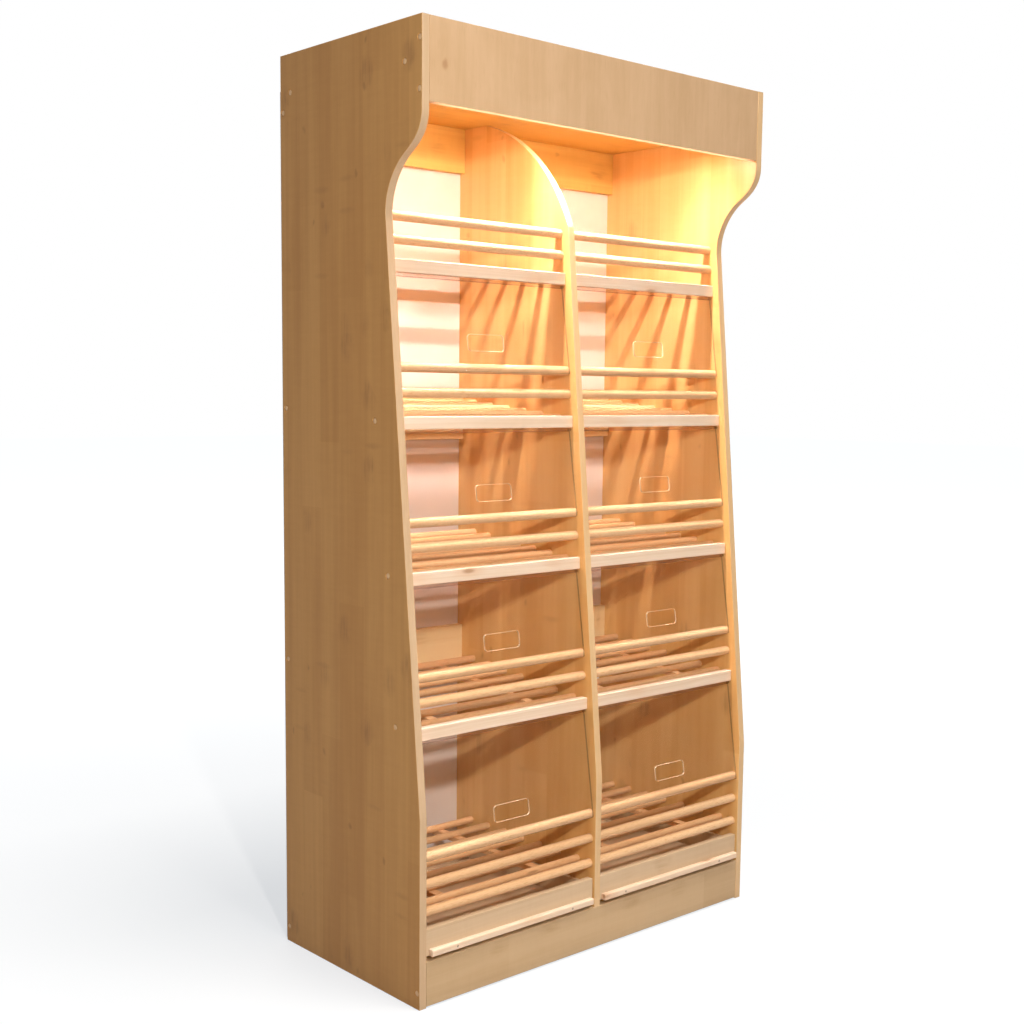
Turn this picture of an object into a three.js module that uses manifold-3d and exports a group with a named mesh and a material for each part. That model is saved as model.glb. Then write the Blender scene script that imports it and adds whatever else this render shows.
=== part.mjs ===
// Bakery bread rack: two bays between laminated side panels, four tilted dowel shelves and a
// dowel floor per bay, round guard rods, clear lift-up flaps, crumb drawers and a lit header.
// Millimetres, +Z up, the front faces -Y, +X is to the right seen from the front.
// Heights are measured from the floor, depths from the front edge of the side panels.
import * as THREE from 'three';
import { mergeVertices } from 'three/addons/utils/BufferGeometryUtils.js';
import Module from 'manifold-3d';

const wasm = await Module();
wasm.setup();

// Carcass
const WIDTH = 1000;              // over the side panels
const DEPTH = 490;               // front edge of the side panels to the rear of the back sheet
const HEIGHT = 1931;             // top of the side panels
const PANEL_T = 18;              // laminated board
const BACK_T = 4;                // white back sheet
const BACK_INSET = 2;            // back sheet edge inside the panel's outer face
const BACK_LIFT = 5;             // back sheet above the floor
const JOINT_GAP = 0.3;           // glue line and running gap between neighbours
const CUT_OVERRUN = 1;           // cutting tools past the face they start from

// Front outline of the side panels
const KINK_Z = 390;              // the front edge is upright below this height
const FRONT_LEAN = 0.0965;       // set-back per millimetre of height above the kink
const OGEE_TOP_DROP = 171;       // head of the curve below the panel's top
const OGEE_UPPER_DROP = 77;      // turning point below the head
const OGEE_LOWER_DROP = 117;     // foot of the curve below the turning point
const OGEE_MID_SETBACK = 56;     // depth of the turning point
const OGEE_MID_DEG = 34;         // fall of the curve at the turning point
const OGEE_UPPER_REACH = 25;     // handle length above the turning point
const OGEE_LOWER_REACH = 36;     // handle length below the turning point
const OGEE_TOP_REACH = 45;       // handle length at the head
const OGEE_END_REACH = 55;       // handle length at the foot

// Divider outline
const ARCH_FOOT_RISE = 13;       // foot of the divider's arch above the top guard rod's axis
const ARCH_FLAT = 92;            // length of the divider's head under the ceiling panel
const ARCH_BULGE = 44;           // rise of the arch over its chord

// Header and lamp
const FASCIA_T = 15;
const FASCIA_H = 157;
const CEILING_DROP = 90;         // underside of the ceiling panel below the panels' top
const LAMP_GAP = 85;             // lamp housing behind the fascia
const LAMP_END_GAP = 42;         // lamp housing to the side panels
const LAMP_W = 34;
const LAMP_H = 14;
const DIFFUSER_MARGIN = 8;       // housing past the diffuser at each end
const DIFFUSER_D = 26;           // half-round diffuser under the housing

// Back rails
const RAIL_H = 100;
const MIDDLE_RAIL_RISE = 50;     // middle rail's top above the second shelf's front board
const LOWER_RAIL_RISE = 120;     // lower rail's top above the fourth shelf's front board

// Base
const PLINTH_LIFT = 3;           // plinth boards clear the floor
const PLINTH_TOP_Z = 96;

// Shelves, counted from the top
const SHELF_DOWELS = [5, 6, 7, 7];
const TOP_SHELF_DROP = 360;      // mid-height of the top shelf's front board below the ceiling
const BOTTOM_SHELF_Z = 554;      // mid-height of the lowest shelf's front board
const BOARD_H = 26;
const BOARD_T = 18;
const BOARD_SETBACK = 16;        // front board behind the panels' front edge
const DOWEL_D = 16;
const SHELF_TILT_DEG = 5.6;      // shelves fall towards the front
const FIRST_DOWEL_GAP = 26;      // first dowel's axis behind the front board
const TOP_DOWEL_GAP = 55;        // the same on the top shelf
const FIRST_DOWEL_RISE = 8;      // first dowel above the board's mid-height
const REAR_DOWEL_INSET = 66;     // last dowel ahead of the rear of the rack
const BATTEN_W = 20;
const BATTEN_H = 12;
const BATTEN_SPREAD = 135;       // batten to the middle of the bay
const BATTEN_OVERRUN = 6;        // batten past the end dowels
const DOWEL_BITE = 3;            // dowels let into the battens

// Floor of dowels
const FLOOR_DOWELS = 7;
const FLOOR_DOWEL_Z = 196;
const FLOOR_FIRST_GAP = 27;      // first dowel's axis behind the floor rods
const FLOOR_REAR_INSET = 63;

// Guard rods
const ROD_D = 20;
const ROD_WALL = 8;              // board left behind the rod holes in the side panels
const ROD_SETBACK = 28;          // shelf rods behind the panels' front edge
const UPPER_ROD_RISE = 110;      // upper rod above the front board's mid-height
const LOWER_ROD_RISE = 60;       // lower rod above the front board's mid-height
const TOP_UPPER_ROD_RISE = 98;   // the same on the top shelf
const TOP_LOWER_ROD_RISE = 52;
const FLOOR_ROD_SETBACK = 18;
const FLOOR_ROD_Z = 194;         // lowest floor rod
const FLOOR_ROD_PITCH = 57;
const FLOOR_RODS = ['lower', 'middle', 'upper'];

// Clear flaps
const FLAP_T = 4;
const FLAP_SIDE_GAP = 3;
const FLAP_PIVOT_DROP = 5;       // pivot below the front board
const FLAP_PIVOT_SETBACK = 26;
const FLAP_OVERLAP = 6;          // flap's lower edge below the upper guard rod's axis
const FLAP_BARREL_D = 8;
const FLAP_PIN_D = 6;
const PIN_WALL = 4;              // board left between the two pin holes in the divider
const PIN_END_GAP = 1;           // pin's end to the bottom of its hole
const GRIP_W = 95;
const GRIP_H = 34;
const GRIP_R = 7;
const GRIP_RISE = 60;            // middle of the grip above the flap's lower edge

// Crumb drawers
const DRAWER_REVEAL = 11;        // drawer front above the plinth
const DRAWER_TOP_GAP = 22;       // drawer front below the lowest floor rod
const DRAWER_FRONT_T = 16;
const DRAWER_FRONT_SETBACK = 4;
const DRAWER_SIDE_GAP = 2;
const TRAY_REAR_GAP = 55;        // tray to the back sheet
const TRAY_TOP_GAP = 30;         // tray's rim below the floor battens
const TRAY_WALL = 10;
const TRAY_FLOOR = 5;
const PULL_H = 14;
const PULL_END_GAP = 7;          // pull lath short of the drawer front at each end
const PULL_PROUD = 9;            // pull lath ahead of the panels' front edge

// Facet counts
const ROD_SIDES = 14;
const DOWEL_SIDES = 10;
const PIN_SIDES = 10;
const CURVE_STEPS = 8;
const ARCH_STEPS = 14;

// Derived sizes
const HALF_W = WIDTH / 2;
const INNER_HALF = HALF_W - PANEL_T;
const PANEL_D = DEPTH - BACK_T - JOINT_GAP;
const BAY_W = INNER_HALF - PANEL_T / 2;
const BAY_X = PANEL_T / 2 + BAY_W / 2;
const SIDES = [['left', -1], ['right', 1]];
const TILT = THREE.MathUtils.degToRad(SHELF_TILT_DEG);
const ROD_R = ROD_D / 2;
const DOWEL_R = DOWEL_D / 2;
const CEILING_Z = HEIGHT - CEILING_DROP;
const OGEE_TOP_Z = HEIGHT - OGEE_TOP_DROP;
const OGEE_MID_Z = OGEE_TOP_Z - OGEE_UPPER_DROP;
const OGEE_END_Z = OGEE_MID_Z - OGEE_LOWER_DROP;
const TOP_SHELF_Z = CEILING_Z - TOP_SHELF_DROP;
const SHELF_PITCH = (TOP_SHELF_Z - BOTTOM_SHELF_Z) / (SHELF_DOWELS.length - 1);
const FLOOR_FIRST_Y = FLOOR_ROD_SETBACK + ROD_R + FLOOR_FIRST_GAP;
const ROD_SEAT = PANEL_T - ROD_WALL;
const PIN_SEAT = (PANEL_T - PIN_WALL) / 2;
const FLAP_PIN_L = FLAP_SIDE_GAP + PIN_SEAT - PIN_END_GAP;
const LAMP_SETBACK = FASCIA_T + LAMP_GAP;
const LAMP_L = 2 * (INNER_HALF - LAMP_END_GAP);
const HOLE_R = (ROD_R + JOINT_GAP) / Math.cos(Math.PI / ROD_SIDES);
const PIN_HOLE_R = (FLAP_PIN_D / 2 + JOINT_GAP) / Math.cos(Math.PI / PIN_SIDES);

const frontY = (z) => Math.max(0, (z - KINK_Z) * FRONT_LEAN);

const finish = (color, roughness, extra = {}) =>
  new THREE.MeshStandardMaterial({ color, roughness, metalness: 0, ...extra });
const LAMINATE = finish(0xd2a878, 0.5);
const BIRCH = finish(0xdcbb95, 0.6);
const BEECH = finish(0xe2b280, 0.5);
const PALE = finish(0xf0d2b4, 0.55);
const WHITE = finish(0xf2ede6, 0.5);
const CLEAR = finish(0xf4f6f6, 0.08, { transparent: true, opacity: 0.3 });
const METAL = finish(0xe8e6e0, 0.4, { metalness: 0.3 });
const GLOW = finish(0xfff0d0, 0.3);

// Closed bodies: positions only, with shared vertices merged
function body(geometry) {
  const bare = geometry.clone();
  bare.deleteAttribute('normal');
  bare.deleteAttribute('uv');
  const welded = mergeVertices(bare, 1e-5);
  return new wasm.Manifold(new wasm.Mesh({
    numProp: 3,
    vertProperties: Float32Array.from(welded.attributes.position.array),
    triVerts: Uint32Array.from(welded.index.array),
  }));
}

function shape(manifold) {
  const mesh = manifold.getMesh();
  const geometry = new THREE.BufferGeometry();
  geometry.setAttribute('position', new THREE.BufferAttribute(mesh.vertProperties, 3));
  geometry.setIndex(new THREE.BufferAttribute(mesh.triVerts, 1));
  const flat = geometry.toNonIndexed();
  flat.computeVertexNormals();
  return flat;
}

// A box given by its low corner and its size
function block(x, y, z, w, d, h) {
  return new THREE.BoxGeometry(w, d, h).translate(x + w / 2, y + d / 2, z + h / 2);
}

// A round bar along X between two x values
function bar(x0, x1, y, z, radius, sides) {
  const turn = new THREE.CylinderGeometry(radius, radius, x1 - x0, sides);
  return turn.rotateZ(-Math.PI / 2).translate((x0 + x1) / 2, y, z);
}

// An outline drawn in depth and height, given a thickness along X
function plate(outline, x, thickness) {
  const raised = new THREE.ExtrudeGeometry(outline, {
    depth: thickness,
    bevelEnabled: false,
    curveSegments: CURVE_STEPS,
  });
  const basis = new THREE.Matrix4().makeBasis(
    new THREE.Vector3(0, 1, 0),
    new THREE.Vector3(0, 0, 1),
    new THREE.Vector3(1, 0, 0),
  );
  return raised.applyMatrix4(basis).translate(x, 0, 0);
}

const rack = new THREE.Group();
rack.position.y = -(DEPTH - PULL_PROUD) / 2;

function place(name, geometry, material, parent = rack) {
  const mesh = new THREE.Mesh(geometry, material.clone());
  mesh.name = name;
  parent.add(mesh);
  return mesh;
}

// Where each guard rod runs
const shelves = SHELF_DOWELS.map((dowels, index) => {
  const z = TOP_SHELF_Z - index * SHELF_PITCH;
  const top = index === 0;
  const rises = top ? [TOP_UPPER_ROD_RISE, TOP_LOWER_ROD_RISE] : [UPPER_ROD_RISE, LOWER_ROD_RISE];
  const rods = rises.map((rise) => ({ y: frontY(z + rise) + ROD_SETBACK, z: z + rise }));
  const pivotZ = z - BOARD_H / 2 - FLAP_PIVOT_DROP;
  const pivot = { y: frontY(pivotZ) + FLAP_PIVOT_SETBACK, z: pivotZ };
  const dowelGap = top ? TOP_DOWEL_GAP : FIRST_DOWEL_GAP;
  return { dowels, z, rods, pivot, dowelGap };
});
const floorRods = FLOOR_RODS.map((label, index) => ({
  label,
  y: FLOOR_ROD_SETBACK,
  z: FLOOR_ROD_Z + index * FLOOR_ROD_PITCH,
}));
const allRods = [...shelves.flatMap((shelf) => shelf.rods), ...floorRods];

// Side panels, with blind holes for the guard rods and the flap pins
function sideOutline() {
  const foot = new THREE.Vector2(frontY(OGEE_END_Z), OGEE_END_Z);
  const fall = THREE.MathUtils.degToRad(OGEE_MID_DEG);
  const along = new THREE.Vector2(Math.cos(fall), -Math.sin(fall));
  const outline = new THREE.Shape();
  outline.moveTo(0, 0);
  outline.lineTo(PANEL_D, 0);
  outline.lineTo(PANEL_D, HEIGHT);
  outline.lineTo(0, HEIGHT);
  outline.lineTo(0, OGEE_TOP_Z);
  outline.bezierCurveTo(
    0, OGEE_TOP_Z - OGEE_TOP_REACH,
    OGEE_MID_SETBACK - along.x * OGEE_UPPER_REACH, OGEE_MID_Z - along.y * OGEE_UPPER_REACH,
    OGEE_MID_SETBACK, OGEE_MID_Z,
  );
  outline.bezierCurveTo(
    OGEE_MID_SETBACK + along.x * OGEE_LOWER_REACH, OGEE_MID_Z + along.y * OGEE_LOWER_REACH,
    foot.x + OGEE_END_REACH * FRONT_LEAN, foot.y + OGEE_END_REACH,
    foot.x, foot.y,
  );
  outline.lineTo(0, KINK_Z);
  return outline;
}

for (const [label, side] of SIDES) {
  const inner = side * INNER_HALF;
  const outer = side * HALF_W;
  let panel = body(plate(sideOutline(), Math.min(inner, outer), PANEL_T));
  for (const rod of allRods) {
    const ends = [inner - side * CUT_OVERRUN, inner + side * ROD_SEAT].sort((a, b) => a - b);
    panel = panel.subtract(body(bar(...ends, rod.y, rod.z, HOLE_R, ROD_SIDES)));
  }
  for (const { pivot } of shelves) {
    const ends = [inner - side * CUT_OVERRUN, inner + side * PIN_SEAT].sort((a, b) => a - b);
    panel = panel.subtract(body(bar(...ends, pivot.y, pivot.z, PIN_HOLE_R, PIN_SIDES)));
  }
  place(`side_panel_${label}`, shape(panel), LAMINATE);
}

// Centre divider: front edge as on the side panels, with an arch up to the ceiling panel
function dividerOutline() {
  const base = PLINTH_TOP_Z + JOINT_GAP;
  const head = CEILING_Z - JOINT_GAP;
  const footZ = shelves[0].rods[0].z + ARCH_FOOT_RISE;
  const foot = new THREE.Vector2(frontY(footZ), footZ);
  const top = new THREE.Vector2(PANEL_D - ARCH_FLAT, head);
  const chord = top.clone().sub(foot);
  const length = chord.length();
  const radius = (length * length / 4 + ARCH_BULGE * ARCH_BULGE) / (2 * ARCH_BULGE);
  const normal = new THREE.Vector2(-chord.y, chord.x).normalize();
  const centre = foot.clone().add(top).multiplyScalar(0.5);
  centre.addScaledVector(normal, ARCH_BULGE - radius);
  const from = Math.atan2(foot.y - centre.y, foot.x - centre.x);
  const to = Math.atan2(top.y - centre.y, top.x - centre.x);
  const outline = new THREE.Shape();
  outline.moveTo(0, base);
  outline.lineTo(PANEL_D, base);
  outline.lineTo(PANEL_D, head);
  for (let i = 0; i <= ARCH_STEPS; i += 1) {
    const angle = to + (from - to) * i / ARCH_STEPS;
    outline.lineTo(centre.x + radius * Math.cos(angle), centre.y + radius * Math.sin(angle));
  }
  outline.lineTo(0, KINK_Z);
  return outline;
}

let divider = body(plate(dividerOutline(), -PANEL_T / 2, PANEL_T));
for (const rod of allRods) {
  divider = divider.subtract(body(bar(-PANEL_T, PANEL_T, rod.y, rod.z, HOLE_R, ROD_SIDES)));
}
for (const { pivot } of shelves) {
  for (const [, side] of SIDES) {
    const face = side * PANEL_T / 2;
    const ends = [face + side * CUT_OVERRUN, face - side * PIN_SEAT].sort((a, b) => a - b);
    divider = divider.subtract(body(bar(...ends, pivot.y, pivot.z, PIN_HOLE_R, PIN_SIDES)));
  }
}
place('centre_divider', shape(divider), LAMINATE);

// Header: fascia board, ceiling panel and the lamp hidden behind the fascia
const spanX = -INNER_HALF + JOINT_GAP;
const spanW = 2 * (INNER_HALF - JOINT_GAP);
place('header_fascia', block(spanX, 0, HEIGHT - FASCIA_H, spanW, FASCIA_T, FASCIA_H), BIRCH);
const ceilingY = FASCIA_T + JOINT_GAP;
place('ceiling_panel', block(spanX, ceilingY, CEILING_Z, spanW, PANEL_D - ceilingY, PANEL_T), LAMINATE);

const lampTop = CEILING_Z - JOINT_GAP;
const lampZ = lampTop - LAMP_H;
place('lamp_housing', block(-LAMP_L / 2, LAMP_SETBACK, lampZ, LAMP_L, LAMP_W, LAMP_H), METAL);
const diffuserHalf = LAMP_L / 2 - DIFFUSER_MARGIN;
const bow = new THREE.Shape();
bow.absarc(LAMP_SETBACK + LAMP_W / 2, lampZ - JOINT_GAP, DIFFUSER_D / 2, Math.PI, 2 * Math.PI, false);
place('lamp_diffuser', plate(bow, -diffuserHalf, 2 * diffuserHalf), GLOW);

// Back sheet and the cross rails in front of it
const sheetW = WIDTH - 2 * BACK_INSET;
const sheetTop = CEILING_Z + PANEL_T;
const sheetH = sheetTop - BACK_LIFT;
place('back_sheet', block(-sheetW / 2, DEPTH - BACK_T, BACK_LIFT, sheetW, BACK_T, sheetH), WHITE);
const railTops = [
  ['top', CEILING_Z - JOINT_GAP],
  ['middle', shelves[1].z + MIDDLE_RAIL_RISE],
  ['lower', shelves.at(-1).z + LOWER_RAIL_RISE],
];
const bayW = BAY_W - 2 * JOINT_GAP;
for (const [row, top] of railTops) {
  for (const [label, side] of SIDES) {
    const x = side * BAY_X - bayW / 2;
    const rail = block(x, PANEL_D - PANEL_T, top - RAIL_H, bayW, PANEL_T, RAIL_H);
    place(`back_rail_${row}_${label}`, rail, LAMINATE);
  }
}

// Base: plinth boards in front and behind, with the bottom panel between them
const plinthH = PLINTH_TOP_Z - PLINTH_LIFT;
place('plinth_front', block(spanX, 0, PLINTH_LIFT, spanW, PANEL_T, plinthH), LAMINATE);
place('plinth_rear', block(spanX, PANEL_D - PANEL_T, PLINTH_LIFT, spanW, PANEL_T, plinthH), LAMINATE);
const bottomY = PANEL_T + JOINT_GAP;
const bottomD = PANEL_D - 2 * bottomY;
place('bottom_panel', block(spanX, bottomY, PLINTH_TOP_Z - PANEL_T, spanW, bottomD, PANEL_T), LAMINATE);

// Grids: dowels across the bay on two battens, one body each
function grid(dowels, pitch) {
  const half = BAY_W / 2 - JOINT_GAP;
  const run = (dowels - 1) * pitch;
  const start = -DOWEL_R - BATTEN_OVERRUN;
  const top = -DOWEL_R + DOWEL_BITE;
  let joined = null;
  for (const side of [-1, 1]) {
    const x = side * BATTEN_SPREAD - BATTEN_W / 2;
    const batten = body(block(x, start, top - BATTEN_H, BATTEN_W, run - 2 * start, BATTEN_H));
    joined = joined ? joined.add(batten) : batten;
  }
  for (let i = 0; i < dowels; i += 1) {
    joined = joined.add(body(bar(-half, half, i * pitch, 0, DOWEL_R, DOWEL_SIDES)));
  }
  return shape(joined);
}

// Shelves: front boards, guard rods, tilted grids
const rodHalf = INNER_HALF + ROD_SEAT - JOINT_GAP;
const rearY = DEPTH - REAR_DOWEL_INSET;
shelves.forEach((shelf, index) => {
  const key = `shelf_${index + 1}`;
  const boardY = frontY(shelf.z) + BOARD_SETBACK;
  const firstY = boardY + BOARD_T + shelf.dowelGap;
  const rise = FIRST_DOWEL_RISE + (shelf.dowelGap - FIRST_DOWEL_GAP) * Math.tan(TILT);
  const pitch = (rearY - firstY) / Math.cos(TILT) / (shelf.dowels - 1);
  for (const [label, side] of SIDES) {
    const x = side * BAY_X - bayW / 2;
    const board = block(x, boardY, shelf.z - BOARD_H / 2, bayW, BOARD_T, BOARD_H);
    place(`${key}_board_${label}`, board, PALE);
    const tilted = new THREE.Group();
    tilted.position.set(side * BAY_X, firstY, shelf.z + rise);
    tilted.rotation.x = TILT;
    rack.add(tilted);
    place(`${key}_grid_${label}`, grid(shelf.dowels, pitch), BEECH, tilted);
  }
  shelf.rods.forEach((rod, level) => {
    const name = `${key}_rod_${level === 0 ? 'upper' : 'lower'}`;
    place(name, bar(-rodHalf, rodHalf, rod.y, rod.z, ROD_R, ROD_SIDES), BEECH);
  });
});

// Floor of dowels and its guard rods
for (const rod of floorRods) {
  place(`floor_rod_${rod.label}`, bar(-rodHalf, rodHalf, rod.y, rod.z, ROD_R, ROD_SIDES), BEECH);
}
const floorPitch = (DEPTH - FLOOR_REAR_INSET - FLOOR_FIRST_Y) / (FLOOR_DOWELS - 1);
for (const [label, side] of SIDES) {
  const level = new THREE.Group();
  level.position.set(side * BAY_X, FLOOR_FIRST_Y, FLOOR_DOWEL_Z);
  rack.add(level);
  place(`floor_grid_${label}`, grid(FLOOR_DOWELS, floorPitch), BEECH, level);
}

// Clear flaps: each hangs on two pins under a front board and leans on the rod below
function flap(length) {
  const half = BAY_W / 2 - FLAP_SIDE_GAP;
  const outline = new THREE.Shape();
  outline.moveTo(-half, -length);
  outline.lineTo(half, -length);
  outline.lineTo(half, 0);
  outline.lineTo(-half, 0);
  const low = -length + GRIP_RISE - GRIP_H / 2;
  const high = low + GRIP_H;
  const r = GRIP_R;
  const w = GRIP_W / 2;
  const grip = new THREE.Path();
  grip.moveTo(-w + r, low);
  grip.absarc(-w + r, low + r, r, -Math.PI / 2, -Math.PI, true);
  grip.absarc(-w + r, high - r, r, Math.PI, Math.PI / 2, true);
  grip.absarc(w - r, high - r, r, Math.PI / 2, 0, true);
  grip.absarc(w - r, low + r, r, 0, -Math.PI / 2, true);
  outline.holes.push(grip);
  const sheet = new THREE.ExtrudeGeometry(outline, {
    depth: FLAP_T,
    bevelEnabled: false,
    curveSegments: 3,
  });
  sheet.rotateX(Math.PI / 2).translate(0, FLAP_T / 2, 0);
  const pin = half + FLAP_PIN_L;
  return shape(body(sheet)
    .add(body(bar(-half, half, 0, 0, FLAP_BARREL_D / 2, PIN_SIDES)))
    .add(body(bar(-pin, pin, 0, 0, FLAP_PIN_D / 2, PIN_SIDES))));
}

shelves.forEach((shelf, index) => {
  const lower = index + 1 < shelves.length ? shelves[index + 1].rods[0] : floorRods.at(-1);
  const back = lower.y - shelf.pivot.y;
  const drop = shelf.pivot.z - lower.z;
  const clear = ROD_R + JOINT_GAP + FLAP_T / 2;
  const lean = Math.asin(clear / Math.hypot(back, drop)) - Math.atan2(back, drop);
  const length = (drop + FLAP_OVERLAP) / Math.cos(lean);
  for (const [label, side] of SIDES) {
    const hung = new THREE.Group();
    hung.position.set(side * BAY_X, shelf.pivot.y, shelf.pivot.z);
    hung.rotation.x = -lean;
    rack.add(hung);
    place(`flap_${index + 1}_${label}`, flap(length), CLEAR, hung);
  }
});

// Crumb drawers: front board, tray behind it and a pull lath along the lower edge
const drawerW = BAY_W - 2 * DRAWER_SIDE_GAP;
const drawerZ = PLINTH_TOP_Z + DRAWER_REVEAL;
const trayY = DRAWER_FRONT_SETBACK + DRAWER_FRONT_T + JOINT_GAP;
const trayZ = PLINTH_TOP_Z + JOINT_GAP;
const trayL = PANEL_D - TRAY_REAR_GAP - trayY;
const battenBottom = FLOOR_DOWEL_Z - DOWEL_R + DOWEL_BITE - BATTEN_H;
const trayH = battenBottom - TRAY_TOP_GAP - trayZ;
const drawerH = FLOOR_ROD_Z - ROD_R - DRAWER_TOP_GAP - drawerZ;
const pullT = DRAWER_FRONT_SETBACK + PULL_PROUD - JOINT_GAP;
for (const [label, side] of SIDES) {
  const x = side * BAY_X - drawerW / 2;
  const face = block(x, DRAWER_FRONT_SETBACK, drawerZ, drawerW, DRAWER_FRONT_T, drawerH);
  place(`drawer_front_${label}`, face, LAMINATE);
  const hollow = block(
    x + TRAY_WALL, trayY + TRAY_WALL, trayZ + TRAY_FLOOR,
    drawerW - 2 * TRAY_WALL, trayL - 2 * TRAY_WALL, trayH,
  );
  const tray = body(block(x, trayY, trayZ, drawerW, trayL, trayH)).subtract(body(hollow));
  place(`drawer_tray_${label}`, shape(tray), LAMINATE);
  const pull = block(x + PULL_END_GAP, -PULL_PROUD, drawerZ, drawerW - 2 * PULL_END_GAP, pullT, PULL_H);
  place(`drawer_pull_${label}`, pull, PALE);
}

export default rack;
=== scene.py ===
"""Looks of the bakery bread rack: eased boards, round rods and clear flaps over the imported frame,
with their wood finishes, the lamp's glow, the studio light and the camera."""
import math

import bpy
import numpy as np
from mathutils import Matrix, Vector
from mathutils.geometry import tessellate_polygon


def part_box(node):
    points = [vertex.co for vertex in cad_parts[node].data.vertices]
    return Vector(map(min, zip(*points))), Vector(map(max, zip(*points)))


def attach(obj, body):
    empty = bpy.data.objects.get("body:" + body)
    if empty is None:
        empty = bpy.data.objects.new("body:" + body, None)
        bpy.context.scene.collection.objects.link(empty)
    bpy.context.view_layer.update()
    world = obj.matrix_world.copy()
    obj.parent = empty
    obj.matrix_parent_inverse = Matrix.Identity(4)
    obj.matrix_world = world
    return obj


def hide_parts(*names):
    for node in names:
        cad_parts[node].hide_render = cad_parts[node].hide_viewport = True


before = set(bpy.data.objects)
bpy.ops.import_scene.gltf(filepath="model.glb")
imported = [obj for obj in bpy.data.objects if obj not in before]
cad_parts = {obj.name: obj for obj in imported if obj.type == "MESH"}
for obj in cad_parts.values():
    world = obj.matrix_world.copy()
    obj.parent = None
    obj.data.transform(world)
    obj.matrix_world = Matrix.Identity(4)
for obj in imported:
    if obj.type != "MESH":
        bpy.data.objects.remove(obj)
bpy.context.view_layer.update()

# Sizes in mm: x across, y back from the front plane, z up
MM = 0.001
FRONT = -240.5                   # the front plane in the row frame
SIDES = (("left", -1), ("right", 1))
OUTER, INNER = 500.0, 482.0      # faces of the side panels
PANEL_D = 485.7
HEIGHT = 1931.0
KINK_Z, LEAN = 390.0, 0.0965     # above the kink the front edge leans back
EDGE_EASE = 0.8                  # eased edges of panels, divider, fascia, battens and drawer fronts
RAIL_EASE, LATH_EASE, HOUSING_EASE = 0.7, 1.2, 1.6
BAY_X, BAY_HALF = 245.5, 236.2   # a bay's middle and half of its dowels' length
DIVIDER_HALF = 9.0
FASCIA_HALF, FASCIA_FOOT, FASCIA_D = 481.7, 1774.0, 15.0
LAMP_HALF, LAMP_Y, LAMP_Z, LAMP_R = 432.0, 117.0, 1826.4, 13.0
SHELF_Z = (1481.0, 1172.0, 863.0, 554.0)
ROD_R, DOWEL_R = 10.0, 8.0
ROD_END = 491.7                  # guard rods end in blind holes in the side panels
ROD_HOLE_R, ROD_SEAT = 10.35, 10.0   # those holes' radius and depth
ROD_BACK = 28.0                  # from the front edge back to a shelf's guard rods
TILT = math.radians(5.6)         # shelves fall towards the front
ROD_RISES = ((98, 52), (110, 60), (110, 60), (110, 60))     # guard rods above each shelf
# Each shelf's front dowel in depth and height, its number of dowels, and the depth of the rear ones
FIRST_DOWEL = ((194.28, 1491.84), (135.46, 1180.0), (105.64, 871.0), (75.83, 562.0))
DOWELS = (5, 6, 7, 7)
REAR_DOWEL_Y = 424.0
FLOOR_DOWEL = (55.0, 196.0)
FLOOR_DOWELS, FLOOR_PITCH = 7, 62.0
BATTEN_X, BATTEN_HALF = 135.0, 10.0
BATTEN_TOP, BATTEN_FOOT, BATTEN_OVER = 5.0, 17.0, 6.0    # below the dowels' axes, and past the outer dowels
FLOOR_RODS = ((18.0, 194.0), (18.0, 251.0), (18.0, 308.0))
CAP_PLACES = ((7.1, 1889.3), (53.6, 1852.1), (8.2, 1796.5), (449.1, 1852.1), (477.1, 1813.8),
              (473.5, 1194.9), (150.2, 1174.9), (106.5, 868.6), (81.6, 565.6), (473.2, 646.3),
              (477.0, 34.3), (8.5, 33.0))
CAP_R, CAP_SEAT_R, CAP_SEAT = 6.0, 7.2, 1.6
PIVOT_BACK, PIVOT_DROP = 26.0, 18.0                      # from the front edge, and from a shelf's height
PIN_R, PIN_HOLE_R, PIN_SEAT = 3.0, 3.35, 7.0             # the seat is the depth of a pin's hole
PIN_START, PIN_END = 230.0, 242.5                        # from the bay's middle
BARREL_R = 4.0
BARREL_SKIN = 3                                          # the barrel's finish among the clear ones
SHEET_HALF, SHEET_TOP, SHEET_CORNER = 233.5, 2.0, 2.5    # the top edge is that far below the pivot
SHEET_THICK, SHEET_EASE, GRIP_BEVEL = 4.0, 0.35, 0.6
SHEET_GAP, SHEET_OVER = 0.3, 6.0                         # to the guard rod, and past its axis
GRIP_HALF, GRIP_LOW, GRIP_HIGH, GRIP_CORNER = 47.5, 43.0, 77.0, 7.0     # up from the sheet's lower edge
PULL_EASE, PULL_RADII = 1.0, [1.2, 3.2, 1.6, 1.2]
SCREW_X, SCREW_Z, SCREW_R, SCREW_RISE = 162.0, 113.5, 2.7, 0.4


def front_edge(z):
    """Depth of the leaning front edge at height z: zero up to the kink, then the lean times the height
    over it."""
    return max(0.0, (z - KINK_Z) * LEAN)


SHELF_RODS = tuple(
    tuple((front_edge(z + rise) + ROD_BACK, z + rise) for rise in rises)
    for z, rises in zip(SHELF_Z, ROD_RISES)
)
ALL_RODS = tuple(rod for pair in SHELF_RODS for rod in pair) + FLOOR_RODS
PIVOTS = tuple((front_edge(z - PIVOT_DROP) + PIVOT_BACK, z - PIVOT_DROP) for z in SHELF_Z)


# Surfaces

def quads(rows, cols):
    """Quads between neighbouring rings of a grid of rows rings with cols points, each ring closed on
    itself."""
    row = np.arange(rows - 1)[:, None] * cols
    col = np.arange(cols)[None, :]
    after = (col + 1) % cols
    return np.stack([row + col, row + after, row + after + cols, row + col + cols], -1).reshape(-1, 4)


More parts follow.
